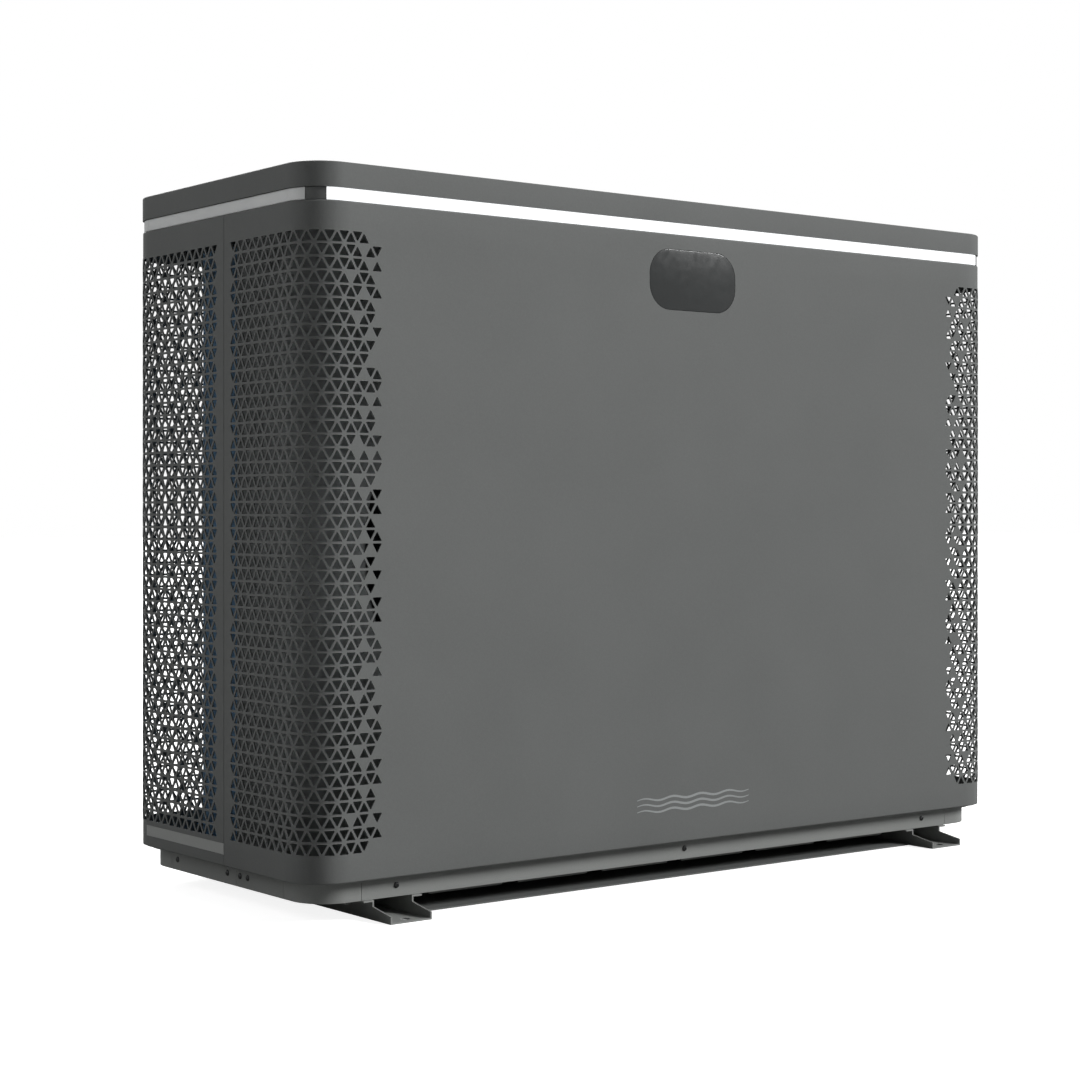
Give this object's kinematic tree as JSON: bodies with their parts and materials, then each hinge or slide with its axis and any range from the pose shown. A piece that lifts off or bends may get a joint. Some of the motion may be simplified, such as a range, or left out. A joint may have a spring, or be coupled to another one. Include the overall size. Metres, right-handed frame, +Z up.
{
  "type": "pool heat pump unit",
  "caption": "Pool heat pump in a dark grey steel cabinet with perforated wrapped corners, a lit strip under the lid, a front display, a fan, a finned coil and rear water unions.",
  "frame": {"origin": "on the ground under the middle of the cabinet", "axes": "+X to the right seen from the front, +Y from the front face to the rear, +Z up"},
  "size_m": [1.154, 0.482, 0.869],
  "materials": {
    "powder_coat": "dark grey fine-texture powder coat",
    "trim_coat": "lighter grey satin coat",
    "black_coat": "black coated steel",
    "zinc": "zinc-coated sheet",
    "diffuser": "lit opal diffuser",
    "lens": "tinted display lens",
    "black_plastic": "moulded black plastic",
    "fan_plastic": "moulded dark grey plastic",
    "coated_fins": "dark blue coated aluminium fins on copper tube",
    "black_enamel": "black enamelled steel shell",
    "copper": "drawn copper tube",
    "brass": "turned brass",
    "pvc": "moulded grey PVC",
    "stainless": "stainless steel"
  },
  "bodies": {
    "cabinet": {"front_base_rail": "powder_coat", "rear_base_rail": "powder_coat", "left_front_side_rail": "powder_coat", "left_rear_side_rail": "powder_coat", "right_front_side_rail": "powder_coat", "right_rear_side_rail": "powder_coat", "front_left_base_corner": "powder_coat", "front_right_base_corner": "powder_coat", "rear_left_base_corner": "powder_coat", "rear_right_base_corner": "powder_coat", "front_panel": "powder_coat", "left_rear_panel": "powder_coat", "right_rear_panel": "powder_coat", "top_lid": "powder_coat", "fan_deck": "powder_coat", "left_trim_band": "trim_coat", "left_front_corner_strip": "trim_coat", "right_front_corner_strip": "trim_coat", "left_side_strip": "trim_coat", "right_side_strip": "trim_coat", "rear_strip": "trim_coat", "left_foot": "black_coat", "right_foot": "black_coat", "front_cross_rail": "black_coat", "rear_cross_rail": "black_coat", "base_pan": "black_coat", "left_strip_block": "black_coat", "right_strip_block": "black_coat", "top_frame": "black_coat", "fan_motor": "black_coat", "motor_bracket": "zinc", "partition": "zinc", "control_box": "zinc", "control_box_cover": "zinc", "front_light_strip": "diffuser", "display_lens": "lens", "display_housing": "black_plastic", "flow_switch": "black_plastic", "cable_gland": "black_plastic", "evaporator_coil": "coated_fins", "compressor": "black_enamel", "discharge_pipe": "copper", "suction_pipe": "copper", "exchanger_gas_pipe": "copper", "coil_gas_pipe": "copper", "liquid_pipe": "copper", "reversing_valve": "brass", "expansion_valve": "brass", "heat_exchanger": "pvc", "water_inlet_pipe": "pvc", "water_outlet_pipe": "pvc", "left_skirt_screw": "stainless", "middle_skirt_screw": "stainless", "right_skirt_screw": "stainless"},
    "fan": {"fan_wheel": "fan_plastic", "fan_shaft": "stainless", "fan_nut": "stainless"},
    "inlet_nut": {"inlet_union_nut": "black_plastic"},
    "outlet_nut": {"outlet_union_nut": "black_plastic"},
    "paddle": {"flow_paddle": "stainless"}
  },
  "joints": [
    {"name": "fan_spin", "type": "hinge", "parent": "cabinet", "child": "fan", "pos_m": [-0.165, -0.047, 0.42415], "axis": [0, -1, 0], "continuous": true},
    {"name": "inlet_nut_turn", "type": "hinge", "parent": "cabinet", "child": "inlet_nut", "pos_m": [0.455, 0.2195, 0.12], "axis": [0, 1, 0], "continuous": true},
    {"name": "outlet_nut_turn", "type": "hinge", "parent": "cabinet", "child": "outlet_nut", "pos_m": [0.455, 0.2195, 0.42], "axis": [0, 1, 0], "continuous": true},
    {"name": "paddle_swing", "type": "hinge", "parent": "cabinet", "child": "paddle", "pos_m": [0.455, 0.183, 0.44897], "axis": [1, 0, 0], "range_deg": [0, 25]}
  ]
}
